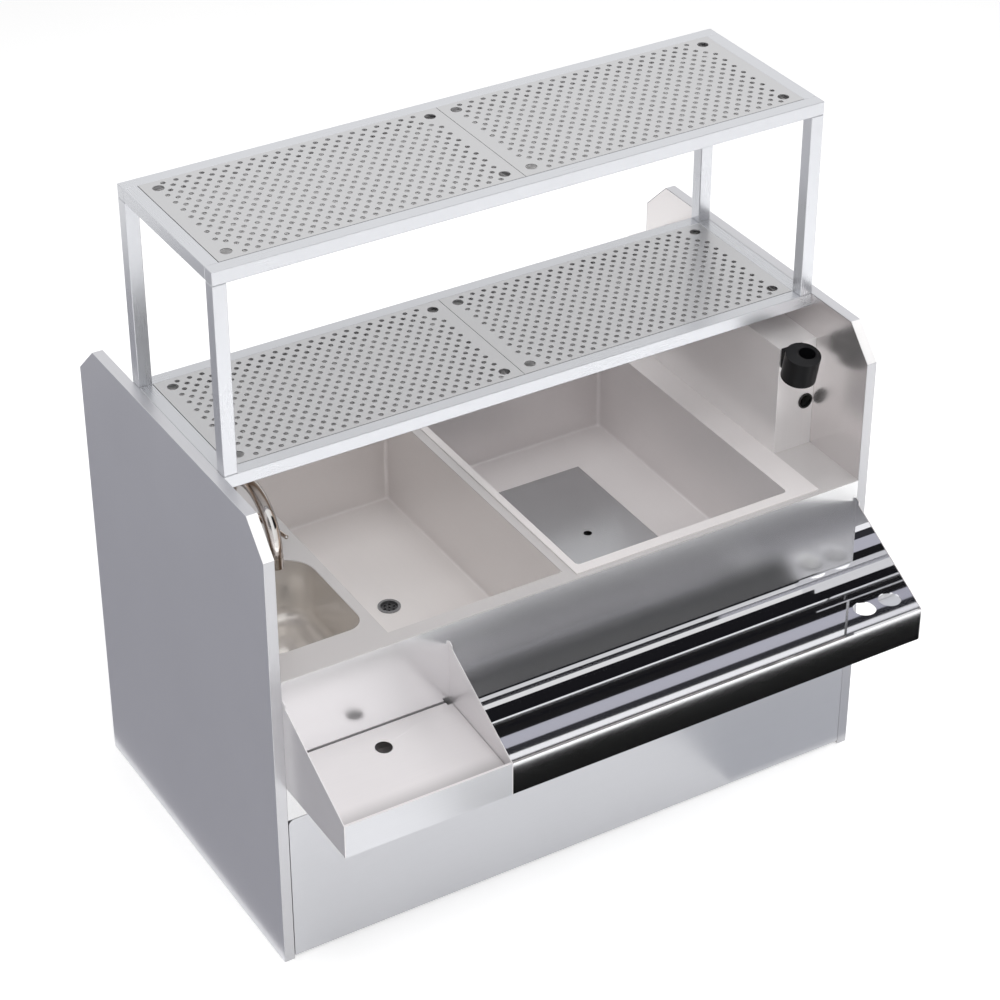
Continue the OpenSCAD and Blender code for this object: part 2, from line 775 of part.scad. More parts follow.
// Body of the mixer tap, with the shank that goes down through the deck
module tap_body() {
  color([0.80, 0.79, 0.78]) translate([tap_x, tap_y, 0]) difference() {
    union() {
      translate([0, 0, deck_h]) cylinder(d = tap_flange_d, h = tap_flange_t);
      translate([0, 0, deck_h + tap_flange_t]) cylinder(d = tap_body_d, h = tap_body_h - tap_flange_t);
      translate([0, 0, tap_top_z]) cylinder(d = collar_d, h = collar_h);
      translate([0, 0, tap_top_z + collar_h])
        cylinder(d = spout_d - 2 * spout_t - 2 * pin_gap, h = spigot_h);
      translate([0, 0, boss_z]) rotate([0, 90, 0]) cylinder(d = boss_d, h = boss_l);
      translate([0, 0, deck_h - shank_h]) cylinder(d = shank_d, h = shank_h);
    }
    translate([0, 0, boss_z]) cylinder(d = water_d, h = tap_body_h + collar_h + spigot_h);
    translate([boss_l - cartridge_l, 0, boss_z]) rotate([0, 90, 0]) cylinder(d = cartridge_d, h = boss_l);
    translate([0, 0, boss_z]) rotate([0, 90, 0]) cylinder(d = water_d, h = boss_l);
  }
}

// Ceramic cartridge in the body's side boss, with the stem that carries the cap
module tap_cartridge() {
  color([0.85, 0.85, 0.82]) translate([tap_x + boss_l - cartridge_l, tap_y, boss_z]) rotate([0, 90, 0]) {
    cylinder(d = cartridge_d, h = cartridge_l);
    cylinder(d = stem_d, h = cartridge_l + stem_l);
  }
}

// Swivelling swan-neck spout
module tap_spout() {
  color([0.80, 0.79, 0.78]) translate([tap_x, tap_y, 0]) difference() {
    union() {
      translate([0, 0, spout_z0]) cylinder(d = spout_d, h = neck_z - spout_z0);
      translate([0, -neck_r, neck_z]) rotate([90, 0, 90]) rotate_extrude(angle = 180)
        translate([neck_r, 0]) circle(d = spout_d);
      translate([0, -2 * neck_r, neck_z - spout_drop]) cylinder(d = spout_d, h = spout_drop);
    }
    translate([0, 0, spout_z0 - over]) cylinder(d = spout_d - 2 * spout_t, h = neck_z - spout_z0 + over);
    translate([0, -neck_r, neck_z]) rotate([90, 0, 90]) rotate_extrude(angle = 180)
      translate([neck_r, 0]) circle(d = spout_d - 2 * spout_t);
    translate([0, -2 * neck_r, neck_z - spout_drop - over])
      cylinder(d = spout_d - 2 * spout_t, h = spout_drop + over);
  }
}

// Nozzle with its aerator on the end of the spout
module tap_nozzle() {
  z1 = neck_z - spout_drop;
  color([0.70, 0.68, 0.66]) translate([tap_x, nozzle_y, z1 - nozzle_h]) difference() {
    union() {
      cylinder(d = nozzle_d, h = nozzle_h);
      cylinder(d = spout_d, h = nozzle_h);
    }
    translate([0, 0, -over]) cylinder(d = spout_d - 4 * spout_t, h = nozzle_h + 2 * over);
  }
}

// Turning cap of the cartridge, on the right of the body
module tap_cap() {
  color([0.80, 0.79, 0.78]) translate([cap_x0, tap_y, boss_z]) rotate([0, 90, 0]) difference() {
    cylinder(d = cap_d, h = cap_l);
    translate([0, 0, cap_l + ball_out]) sphere(d = ball_d + 2 * run_gap);
    translate([0, 0, -over]) cylinder(d = stem_d + 2 * pin_gap, h = stem_l + over);
  }
}

// Lever: a slim bar that points forward from a ball in the middle of the cap
module tap_lever() {
  color([0.80, 0.79, 0.78]) translate([ball_x, tap_y, boss_z]) {
    sphere(d = ball_d);
    rotate([90, 0, lever_out]) {
      cylinder(d1 = lever_d, d2 = lever_tip_d, h = lever_l);
      translate([0, 0, lever_l]) sphere(d = lever_tip_d);
    }
  }
}

// Nut that clamps the tap to the deck from below
module tap_backnut() {
  color([0.78, 0.68, 0.40]) translate([tap_x, tap_y, deck_z - backnut_h]) difference() {
    cylinder(d = backnut_d, h = backnut_h);
    translate([0, 0, -over]) cylinder(d = shank_d, h = backnut_h + 2 * over);
  }
}

// Copper tails for hot and cold water
module tap_tails() {
  z1 = deck_h - shank_h;
  color([0.80, 0.50, 0.36]) for (s = [-1, 1])
    translate([tap_x + s * tail_spread / 2, tap_y, z1 - tail_pipe_l]) difference() {
      cylinder(d = tail_pipe_d, h = tail_pipe_l);
      translate([0, 0, -over])
        cylinder(d = tail_pipe_d - 2 * tail_pipe_t, h = tail_pipe_l + over - tail_pipe_t);
    }
}

// Sheet housing for the bar gun's lines, fixed to the deck and the right side panel
module gun_housing() {
  y1 = house_y0 + housing_d;
  z1 = deck_h + housing_h;
  color([0.74, 0.72, 0.71]) {
    difference() {
      block([house_x0, house_y0, deck_h], [in_r, house_y0 + sheet_t, z1]);
      translate([hose_x, house_y0 + sheet_t + over, hose_z]) rotate([90, 0, 0])
        cylinder(d = hose_d + 2 * grommet_wall, h = sheet_t + 2 * over);
    }
    block([house_x0, house_y0 + sheet_t, deck_h], [house_x0 + sheet_t, y1, z1]);
    block([house_x0 + sheet_t, house_y0 + sheet_t, z1 - sheet_t], [in_r, y1, z1]);
    block([house_x0 + sheet_t, y1 - sheet_t, deck_h], [in_r, y1, z1 - sheet_t]);
  }
}

// Places a shape on the holster's tilted axis, with zero at its upper end
module on_holster_axis() {
  translate([holster_x, holster_y, holster_z]) rotate([holster_tilt, 0, 0]) children();
}

module gun_holster() {
  color([0.06, 0.06, 0.07]) on_holster_axis() translate([0, 0, -holster_h]) difference() {
    cylinder(d = holster_d, h = holster_h);
    translate([holster_bore_x, 0, holster_floor_t]) cylinder(d = holster_bore_d, h = holster_h);
    translate([holster_bore_x, 0, -over]) cylinder(d = holster_drain_d, h = holster_h);
  }
}

// Saddle between the holster and the housing
module holster_bracket() {
  color([0.08, 0.08, 0.09]) difference() {
    block([holster_x - saddle_w / 2 + holster_bore_x, holster_y, holster_z - holster_h / 2 - saddle_h / 2],
      [holster_x + saddle_w / 2 + holster_bore_x, house_y0, holster_z - holster_h / 2 + saddle_h / 2]);
    on_holster_axis() translate([0, 0, -holster_h - saddle_h])
      cylinder(d = holster_d, h = holster_h + 2 * saddle_h);
  }
}

// Grommet in the housing's front, for the bar gun's hose
module hose_grommet() {
  d = hose_d + 2 * grommet_wall;
  color([0.05, 0.05, 0.05]) translate([hose_x, house_y0, hose_z]) rotate([90, 0, 0]) difference() {
    union() {
      cylinder(d = hose_d + 2 * grommet_lip, h = grommet_t);
      translate([0, 0, -sheet_t]) cylinder(d = d, h = sheet_t);
      translate([0, 0, -sheet_t - grommet_t]) cylinder(d = hose_d + 2 * grommet_lip, h = grommet_t);
    }
    translate([0, 0, -sheet_t - grommet_t - over])
      cylinder(d = hose_d, h = sheet_t + 2 * grommet_t + 2 * over);
  }
}

// A closed square tube between two corners, hollow inside
module square_tube(lo, hi) {
  wall = [tube_t, tube_t, tube_t];
  color([0.83, 0.84, 0.87]) difference() {
    block(lo, hi);
    block(lo + wall, hi - wall);
  }
}

module long_rail(y0, z1) {
  square_tube([in_l, y0, z1 - tube_w], [in_r, y0 + tube_w, z1]);
}

module end_rail(x0, z1) {
  square_tube([x0, rack_y0 + tube_w, z1 - tube_w], [x0 + tube_w, rack_y1 - tube_w, z1]);
}

module post(x0, y0) {
  square_tube([x0, y0, side_h], [x0 + tube_w, y0 + tube_w, rack_top - tube_w]);
}

module lower_rail_front() { long_rail(rack_y0, side_h); }
module lower_rail_back() { long_rail(rack_y1 - tube_w, side_h); }
module lower_rail_left() { end_rail(in_l, side_h); }
module lower_rail_right() { end_rail(in_r - tube_w, side_h); }
module upper_rail_front() { long_rail(rack_y0, rack_top); }
module upper_rail_back() { long_rail(rack_y1 - tube_w, rack_top); }
module upper_rail_left() { end_rail(in_l, rack_top); }
module upper_rail_right() { end_rail(in_r - tube_w, rack_top); }
module post_front_left() { post(in_l, rack_y0); }
module post_front_right() { post(in_r - tube_w, rack_y0); }
module post_back_left() { post(in_l, rack_y1 - tube_w); }
module post_back_right() { post(in_r - tube_w, rack_y1 - tube_w); }

// Shallow drip pan inside a rack, with a ledge and a middle bar that the panels rest on
module drip_pan(z1) {
  z0 = z1 - tube_w;
  color([0.58, 0.57, 0.56]) translate([0, (rack_y0 + rack_y1) / 2, z0]) {
    translate([-pan_w / 2, -pan_d / 2, 0]) difference() {
      cube([pan_w, pan_d, ledge_z]);
      translate([sheet_t, sheet_t, sheet_t])
        cube([pan_w - 2 * sheet_t, pan_d - 2 * sheet_t, ledge_z - 2 * sheet_t]);
      translate([ledge_w, ledge_w, sheet_t]) cube([pan_w - 2 * ledge_w, pan_d - 2 * ledge_w, ledge_z]);
    }
    translate([-mid_bar_w / 2, -pan_d / 2 + sheet_t, sheet_t])
      cube([mid_bar_w, pan_d - 2 * sheet_t, ledge_z - sheet_t]);
  }
}

module lower_pan() { drip_pan(side_h); }
module upper_pan() { drip_pan(rack_top); }

// Lift-out perforated panel with turned-down edges and four finger holes
module rack_panel(side, z1) {
  cols = floor((panel_w - 2 * perf_side) / perf_step_x * 2);
  rows = floor((panel_d - 2 * perf_long) / perf_step_y);
  fx = panel_w / 2 - finger_in;
  fy = panel_d / 2 - finger_in;
  keep_out = (finger_d + perf_d) / 2 + sheet_t;
  color([0.71, 0.71, 0.71]) translate([side * panel_x, (rack_y0 + rack_y1) / 2, z1 - panel_h]) {
    translate([0, 0, panel_h - sheet_t]) linear_extrude(sheet_t) difference() {
      square([panel_w, panel_d], center = true);
      for (j = [0:rows], i = [j % 2:2:cols]) {
        x = (i - cols / 2) * perf_step_x / 2;
        y = (j - rows / 2) * perf_step_y;
        near = norm([abs(x) - fx, abs(y) - fy]) < keep_out;
        if (!near) translate([x, y]) circle(d = perf_d);
      }
      for (sx = [-1, 1], sy = [-1, 1]) translate([sx * fx, sy * fy]) circle(d = finger_d);
    }
    linear_extrude(panel_h - sheet_t) difference() {
      square([panel_w, panel_d], center = true);
      square([panel_w - 2 * sheet_t, panel_d - 2 * sheet_t], center = true);
    }
  }
}

module lower_panel_left() { rack_panel(-1, side_h); }
module lower_panel_right() { rack_panel(1, side_h); }
module upper_panel_left() { rack_panel(-1, rack_top); }
module upper_panel_right() { rack_panel(1, rack_top); }

// Profile of the trough: back, round crease, floor, lip and turned-in edge
trough_profile = concat(
  [[front_y, rail_back_z]],
  arc(front_y - crease_r - rail_t, rail_z + crease_r + rail_t, crease_r + rail_t, 0, -90),
  [[lip_y, rail_z], [lip_y, lip_z], [lip_y + hem_d, lip_z], [lip_y + hem_d, lip_z - hem_h],
    [lip_y + rail_t, lip_z - hem_h], [lip_y + rail_t, rail_z + rail_t]],
  arc(front_y - crease_r - rail_t, rail_z + crease_r + rail_t, crease_r, -90, 0),
  [[front_y - rail_t, rail_back_z]]);

module trough(x0, x1, hole_x, hole_d) {
  difference() {
    cross_plate(x0, x1 - x0, trough_profile);
    translate([hole_x, front_y - rail_hole_in, rail_z - over]) cylinder(d = hole_d, h = rail_t + 2 * over);
  }
}

module bottle_rail() {
  color([0.35, 0.35, 0.36]) trough(bottle_x0, bottle_x1, bottle_x1 - rail_hole_side, rail_hole_d);
}

module tray_channel() {
  color([0.85, 0.84, 0.84]) trough(tray_x0, tray_x1, (tray_x0 + tray_x1) / 2, tray_hole_d);
}

// End plate of the trough, with a tab at its upper corner
module rail_end(x0) {
  color([0.80, 0.80, 0.82]) cross_plate(x0, rail_t,
    [[front_y, rail_z], [front_y, end_z + tab_h], [front_y - tab_w, end_z + tab_h - tab_w / 2],
      [front_y - tab_w, end_z - tab_w / 2],
      [lip_y, lip_z], [lip_y, rail_z]]);
}

// Both end plates of the trough, and the plate between its tray and its bottle rail
module trough_plates() {
  rail_end(in_l);
  rail_end(tray_x1);
  rail_end(bottle_x1);
}

// Loose plate of the tray: it falls to the front and stands on its turned-down edges
module tray_plate() {
  x0 = tray_x0 + play;
  x1 = tray_x1 - play;
  y1 = front_y - rail_t - plate_gap;
  y0 = lip_y + hem_d + plate_gap;
  foot = rail_z + rail_t + rest_gap;
  foot_back = rail_z + rail_t + crease_r;
  z0 = plate_z - plate_fall;
  edge_y = y1 - crease_r;
  edge_z = plate_z - plate_t - plate_fall * (crease_r - plate_t) / (y1 - y0 - 2 * plate_t);
  color([0.86, 0.85, 0.84]) difference() {
    cross_plate(x0, x1 - x0, [
      [y1, plate_z], [y1, foot_back], [y1 - plate_t, foot_back], [y1 - plate_t, plate_z - plate_t],
      [y0 + plate_t, z0 - plate_t], [y0 + plate_t, foot], [y0, foot], [y0, z0]]);
    translate([(x0 + x1) / 2, front_y - tray_hole_in, z0 - over - plate_t])
      cylinder(d = tray_hole_d, h = plate_fall + 2 * over + 2 * plate_t);
    for (x = [x0, x1 - notch_w]) translate([x - over, y1 - notch_w, foot_back - over])
      cube([notch_w + 2 * over, notch_w + over, plate_rise + over]);
  }
  color([0.86, 0.85, 0.84]) for (x = [x0, x1 - plate_t])
    cross_plate(x, plate_t,
      [[edge_y, foot], [edge_y, edge_z], [y0 + plate_t, z0 - plate_t], [y0 + plate_t, foot]]);
}

side_panel_left();
side_panel_right();
side_liners();
floor_shelf();
floor_aprons();
back_panel();
front_fascia();
access_panel();
panel_catches();
deck_strips();
deck_bridges();
deck_collar();
deck_upstand();
deck_bearers();
hand_basin();
basin_waste();
sink_well();
sink_waste();
sink_strainer();
ice_well();
ice_sump();
ice_foam();
ice_plate();
ice_waste();
waste_manifold();
waste_trap();
tap_body();
tap_cartridge();
tap_spout();
tap_nozzle();
tap_cap();
tap_lever();
tap_backnut();
tap_tails();
gun_housing();
gun_holster();
holster_bracket();
hose_grommet();
lower_rail_front();
lower_rail_back();
lower_rail_left();
lower_rail_right();
upper_rail_front();
upper_rail_back();
upper_rail_left();
upper_rail_right();
post_front_left();
post_front_right();
post_back_left();
post_back_right();
lower_pan();
upper_pan();
lower_panel_left();
lower_panel_right();
upper_panel_left();
upper_panel_right();
bottle_rail();
tray_channel();
trough_plates();
tray_plate();
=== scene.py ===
import bpy, bmesh, math
from mathutils import Vector, Matrix


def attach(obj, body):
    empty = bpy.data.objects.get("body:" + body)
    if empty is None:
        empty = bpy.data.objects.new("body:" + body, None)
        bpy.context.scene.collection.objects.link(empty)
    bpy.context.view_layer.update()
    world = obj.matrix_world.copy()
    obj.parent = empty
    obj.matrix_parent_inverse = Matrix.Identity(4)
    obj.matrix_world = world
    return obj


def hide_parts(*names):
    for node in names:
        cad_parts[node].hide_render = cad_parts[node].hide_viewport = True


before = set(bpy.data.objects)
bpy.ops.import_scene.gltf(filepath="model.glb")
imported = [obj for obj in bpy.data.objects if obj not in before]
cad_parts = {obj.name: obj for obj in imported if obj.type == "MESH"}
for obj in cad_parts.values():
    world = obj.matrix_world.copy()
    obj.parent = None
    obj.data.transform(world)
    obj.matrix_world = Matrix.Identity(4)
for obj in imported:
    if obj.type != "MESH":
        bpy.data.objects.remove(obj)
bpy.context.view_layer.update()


# The two side panels: hollow boxes folded from satin stainless sheet, with a sheet lining welded
# inside each. They stand on the floor and carry everything else between them.
def grain_group():
    """Fine brush marks and faint clouds of a satin sheet."""
    g = bpy.data.node_groups.new("brushed_sheet", "ShaderNodeTree")
    for socket, kind in (("Streaks", "NodeSocketVector"), ("Place", "NodeSocketVector"),
                         ("Colour", "NodeSocketColor"), ("Roughness", "NodeSocketFloat"),
                         ("Mark", "NodeSocketFloat"), ("Cloud", "NodeSocketFloat")):
        g.interface.new_socket(name=socket, in_out="INPUT", socket_type=kind)
    for socket, kind in (("Colour", "NodeSocketColor"), ("Roughness", "NodeSocketFloat"),
                         ("Height", "NodeSocketFloat")):
        g.interface.new_socket(name=socket, in_out="OUTPUT", socket_type=kind)
    n, link = g.nodes, g.links.new
    given, out = n.new("NodeGroupInput"), n.new("NodeGroupOutput")
    mark, cloud = n.new("ShaderNodeTexNoise"), n.new("ShaderNodeTexNoise")
    mark.inputs["Scale"].default_value = 1.0
    mark.inputs["Detail"].default_value = 3.0
    cloud.inputs["Scale"].default_value = 5.0
    cloud.inputs["Detail"].default_value = 2.0
    link(given.outputs["Streaks"], mark.inputs["Vector"])
    link(given.outputs["Place"], cloud.inputs["Vector"])

    def maths(kind, a, b):
        m = n.new("ShaderNodeMath")
        m.operation = kind
        for i, v in enumerate((a, b)):
            if isinstance(v, (int, float)):
                m.inputs[i].default_value = v
            else:
                link(v, m.inputs[i])
        return m.outputs[0]

    fine = maths("MULTIPLY", maths("SUBTRACT", mark.outputs[0], 0.5), given.outputs["Mark"])
    wide = maths("MULTIPLY", maths("SUBTRACT", cloud.outputs[0], 0.5), given.outputs["Cloud"])
    shade = maths("ADD", maths("ADD", fine, wide), 1.0)
    tone = n.new("ShaderNodeVectorMath")
    tone.operation = "SCALE"
    link(given.outputs["Colour"], tone.inputs[0])
    link(shade, tone.inputs["Scale"])
    link(tone.outputs[0], out.inputs["Colour"])
    link(maths("ADD", given.outputs["Roughness"], maths("ADD", fine, wide)), out.inputs["Roughness"])
    link(mark.outputs[0], out.inputs["Height"])
    return g


brushed_sheet = grain_group()


mark_long, mark_fine, mark_depth = 6.0, 900.0, 0.0002


def grained(name, colour, roughness, scale, mark, cloud, bump):
    """A surface with the marks and clouds of the brushed sheet, stretched by the given scale."""
    m = bpy.data.materials.new(name)
    m.use_nodes = True
    n, link = m.node_tree.nodes, m.node_tree.links.new
    skin = n["Principled BSDF"]
    place = n.new("ShaderNodeTexCoord")
    turn = n.new("ShaderNodeMapping")
    turn.inputs["Scale"].default_value = scale
    sheet = n.new("ShaderNodeGroup")
    sheet.node_tree = brushed_sheet
    sheet.inputs["Colour"].default_value = (*colour, 1)
    sheet.inputs["Roughness"].default_value = roughness
    sheet.inputs["Mark"].default_value = mark
    sheet.inputs["Cloud"].default_value = cloud
    link(place.outputs["Object"], turn.inputs["Vector"])
    link(turn.outputs[0], sheet.inputs["Streaks"])
    link(place.outputs["Object"], sheet.inputs["Place"])
    link(sheet.outputs["Colour"], skin.inputs["Base Color"])
    link(sheet.outputs["Roughness"], skin.inputs["Roughness"])
    relief = n.new("ShaderNodeBump")
    relief.inputs["Strength"].default_value = bump
    relief.inputs["Distance"].default_value = mark_depth
    link(sheet.outputs["Height"], relief.inputs["Height"])
    link(relief.outputs[0], skin.inputs["Normal"])
    return m


def satin(name, colour, roughness, along=(1, 0, 0), mark=0.05, cloud=0.05, bump=0.02, metal=0.8):
    """Satin stainless steel, brushed along one axis."""
    m = grained(name, colour, roughness, [mark_long if a else mark_fine for a in along], mark, cloud, bump)
    m.node_tree.nodes["Principled BSDF"].inputs["Metallic"].default_value = metal
    return m


def dress(material, *names):
    for name in names:
        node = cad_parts[name]
        node.data.materials.clear()
        node.data.materials.append(material)


def ease(width, *names):
    """Breaks the sharp edges of folded sheet and tube, as the press leaves them."""
    for name in names:
        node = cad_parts[name]
        weld = node.modifiers.new("weld", "WELD")
        weld.merge_threshold = 0.00001
        bevel = node.modifiers.new("ease", "BEVEL")
        bevel.width = width
        bevel.segments = 2
        bevel.limit_method = "ANGLE"
        bevel.angle_limit = math.radians(40)
        bevel.harden_normals = True


def face_up(material, name, wanted):
    """Gives the faces of a node that are wanted a second material, for a real finish and for painted light
    and shade.
    """
    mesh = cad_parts[name].data
    mesh.materials.append(material)
    for face in mesh.polygons:
        if wanted(face):
            face.material_index = len(mesh.materials) - 1


panel_fold, square_on, tilted = 0.0008, 0.9, 0.3
side_sheet = satin("side_sheet", (0.72, 0.72, 0.75), 0.33, along=(0, 0, 1), metal=0.85)
dress(side_sheet, "side_panel_left", "side_panel_right")
# Painted light and shade on the side panels: faces that slant up to the front get a lighter copy of the
# sheet, faces that look straight to the front a darker one.
slant_painted_light = satin("slant_painted_light", (0.95, 0.94, 0.94), 0.33, metal=0.45)
edge_painted_shade = satin("edge_painted_shade", (0.54, 0.54, 0.56), 0.33, along=(0, 0, 1), metal=0.85)
for side in ("side_panel_left", "side_panel_right"):
    face_up(slant_painted_light, side, lambda face: face.normal.y < -tilted and face.normal.z > tilted)
    face_up(edge_painted_shade, side, lambda face: face.normal.y < -square_on)
ease(panel_fold, "side_panel_left", "side_panel_right")
liner_sheet = satin("liner_sheet", (0.80, 0.77, 0.77), 0.24, along=(0, 0, 1), mark=0.02, metal=0.8)
dress(liner_sheet, "side_liners")

# The cabinet's floor, its turned-down edges, the back sheet and the bearers under the deck: plain
# folded stainless sheet, welded between the side panels.
carcass_sheet = satin("carcass_sheet", (0.55, 0.55, 0.57), 0.38)
dress(carcass_sheet, "floor_shelf", "floor_aprons", "back_panel", "deck_bearers")


# The fixed front sheet behind the trough: satin stainless, folded in at its lower edge and welded
# between the side panels.
def paint_shade(m, axis, start, end, factor):
    """Paints shade into a sheet's colour, darkening it softly along one axis from start to end."""
    n, link = m.node_tree.nodes, m.node_tree.links.new
    split = n.new("ShaderNodeSeparateXYZ")
    link(n["Texture Coordinate"].outputs["Object"], split.inputs[0])
    ramp = n.new("ShaderNodeMapRange")
    ramp.interpolation_type = "SMOOTHSTEP"
    for socket, value in zip(("From Min", "From Max", "To Min", "To Max"), (start, end, 1.0, factor)):
        ramp.inputs[socket].default_value = value
    tone = n.new("ShaderNodeVectorMath")
    tone.operation = "SCALE"
    base = n["Principled BSDF"].inputs["Base Color"]
    link(split.outputs["XYZ".index(axis)], ramp.inputs["Value"])
    link(base.links[0].from_socket, tone.inputs[0])
    link(ramp.outputs["Result"], tone.inputs["Scale"])
    link(tone.outputs[0], base)
    return m


# Painted light and shade on the front sheet: lighter at its left end, darker towards the right, and painted
# shade towards its lower edge down in the trough.
front_sheet = paint_shade(satin("front_sheet", (0.97, 0.97, 0.98), 0.20, mark=0.01, cloud=0.0, bump=0.0,
                           metal=0.9),
                     "X", start=-0.30, end=-0.10, factor=0.80)
dress(paint_shade(front_sheet, "Z", start=0.400, end=0.372, factor=0.66), "front_fascia")

# The lift-off front panel: a shallow pan folded from satin stainless sheet. Four magnetic catches
# of moulded plastic hold it.
panel_sheet = satin("panel_sheet", (0.57, 0.575, 0.60), 0.32)
dress(panel_sheet, "access_panel")
access_fold = 0.0006
ease(access_fold, "access_panel")


def moulded(name, colour, roughness, grain=0.1, scale=mark_fine, shine=0.5):
    """Moulded plastic, rubber or foam with a fine grain."""
    m = grained(name, colour, roughness, (scale, scale, scale), 0.08, 0.06, grain)
    m.node_tree.nodes["Principled BSDF"].inputs["Specular IOR Level"].default_value = shine
    return m


dress(moulded("catch_plastic", (0.05, 0.05, 0.055), 0.5), "panel_catches")


# The work deck: satin sheets welded flush round the openings for the bowl, the wells and the tap,
# with a boxed upstand along the back.
def ease_edge(width, name, *spans):
    """Breaks only the edges of a node that lie in the given boxes."""
    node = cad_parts[name]
    group = node.vertex_groups.new(name="edge")
    inside = [v.index for v in node.data.vertices
              if any(all(lo[i] <= v.co[i] <= hi[i] for i in range(3)) for lo, hi in spans)]
    group.add(inside, 1.0, "REPLACE")
    ease(width, name)
    node.modifiers["ease"].limit_method = "VGROUP"
    node.modifiers["ease"].vertex_group = "edge"


deck_sheet = satin("deck_sheet", (0.63, 0.61, 0.61), 0.34, metal=0.5)
dress(deck_sheet, "deck_strips", "deck_bridges", "deck_collar", "deck_upstand")
deck_low, deck_high = 0.6, 0.7
front_edge, well_sides, near = -0.2475, (-0.365, -0.025), 0.0005
front_fold, bridge_fold = 0.0010, 0.0008
ease_edge(front_fold, "deck_strips", ((-1, front_edge - near, deck_low), (1, front_edge + near, deck_high)))
ease_edge(bridge_fold, "deck_bridges",
          *[((x - near, -1, deck_low), (x + near, 1, deck_high)) for x in well_sides])


# The hand basin: a bowl pressed from one sheet with round corners and a round edge to its floor.
# Its turned-out edge is welded under the deck.
def rounded_ring(bm, width, length, radii, z, steps=12):
    """A closed ring of edges round the origin, its corners rounded by radii: in front, at the back."""
    ring = bmesh.ops.create_circle(bm, cap_ends=False, segments=4 * steps, radius=1,
                                   matrix=Matrix.Rotation(math.radians(45 / steps), 4, "Z"))["verts"]
    for v in ring:
        radius = radii[v.co.y > 0]
        v.co = (v.co.x * radius + math.copysign(width / 2 - radius, v.co.x),
                v.co.y * radius + math.copysign(length / 2 - radius, v.co.y), z)
    return list({e for v in ring for e in v.link_edges})


bowl_middle, bowl_size, bowl_corners = (-0.4755, -0.0575), (0.183, 0.244), (0.033, 0.060)
bowl_floor, bowl_top, bowl_round, outlet_r = 0.475, 0.5985, 0.030, 0.019
sheet_t, flange_w, lead = 0.0015, 0.009, 0.0015

bowl = bmesh.new()
rings = [(-flange_w, bowl_top), (-lead, bowl_top)]
for a in map(math.radians, (30, 60, 90)):
    rings.append((-lead * (1 - math.sin(a)), bowl_top - lead * (1 - math.cos(a))))
for a in map(math.radians, range(0, 91, 10)):
    rings.append((bowl_round * (1 - math.cos(a)), bowl_floor + bowl_round * (1 - math.sin(a))))
last = None
for inset, z in rings:
    edges = rounded_ring(bowl, bowl_size[0] - 2 * inset, bowl_size[1] - 2 * inset,
                         [corner - inset for corner in bowl_corners], z)
    if last:
        bmesh.ops.bridge_loops(bowl, edges=last + edges)
    last = edges
edges = rounded_ring(bowl, 2 * outlet_r, 2 * outlet_r, (outlet_r, outlet_r), bowl_floor)
bmesh.ops.bridge_loops(bowl, edges=last + edges)
bmesh.ops.remove_doubles(bowl, verts=bowl.verts, dist=0.000001)
bmesh.ops.recalc_face_normals(bowl, faces=bowl.faces)
if min(bowl.faces, key=lambda f: f.calc_center_median().z).normal.z < 0:
    bmesh.ops.reverse_faces(bowl, faces=bowl.faces)
bmesh.ops.translate(bowl, verts=bowl.verts, vec=(*bowl_middle, 0))
basin_mesh = bpy.data.meshes.new("basin_bowl")
bowl.to_mesh(basin_mesh)
bowl.free()
basin_mesh.shade_smooth()
basin_mesh.materials.append(satin("basin_steel", (0.77, 0.735, 0.70), 0.22, along=(0, 1, 0), cloud=0.04,
                                  metal=0.65))
basin = bpy.data.objects.new("basin_bowl", basin_mesh)
bpy.context.scene.collection.objects.link(basin)
wall = basin.modifiers.new("sheet", "SOLIDIFY")
wall.thickness = sheet_t
wall.offset = -1
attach(basin, "cabinet")
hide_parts("hand_basin")

# The sink: a deep well with tight corners, folded and welded from satin sheet, with its strainer waste
# in the middle of its floor.
well_steel = satin("well_steel", (0.86, 0.83, 0.82), 0.38, along=(0, 1, 0), cloud=0.04, metal=0.42)
dress(well_steel, "sink_well")
waste_steel = satin("waste_steel", (0.30, 0.30, 0.31), 0.30, mark=0.1)
dress(waste_steel, "basin_waste", "sink_waste", "ice_waste")
dress(satin("strainer_steel", (0.10, 0.10, 0.105), 0.35, mark=0.1), "sink_strainer")

# The ice bin: a double-walled well dropped into the deck, its rim lying on it, with foam boards round
# its walls, a sump under its floor and a loose plate over the sump.
bin_steel = satin("bin_steel", (0.82, 0.79, 0.79), 0.38, along=(0, 1, 0), cloud=0.08, metal=0.42)
dress(bin_steel, "ice_well", "ice_sump")
rim_fold, rim_low = 0.0006, 0.6032
ease_edge(rim_fold, "ice_well", ((-1, -1, rim_low), (1, 1, deck_high)))
dress(moulded("jacket_foam", (0.79, 0.72, 0.35), 0.85, grain=0.4, scale=220.0), "ice_foam")
plate_steel = satin("plate_steel", (0.56, 0.565, 0.585), 0.24, along=(0, 1, 0), cloud=0.1, metal=0.8)
dress(plate_steel, "ice_plate")

# The waste pipes under the wells: a moulded collecting pipe and a bottle trap, pushed together.
# The trap's outlet goes down through the cabinet's floor.
drain_pipe = moulded("drain_pipe", (0.72, 0.72, 0.70), 0.4)
dress(drain_pipe, "waste_manifold", "waste_trap")


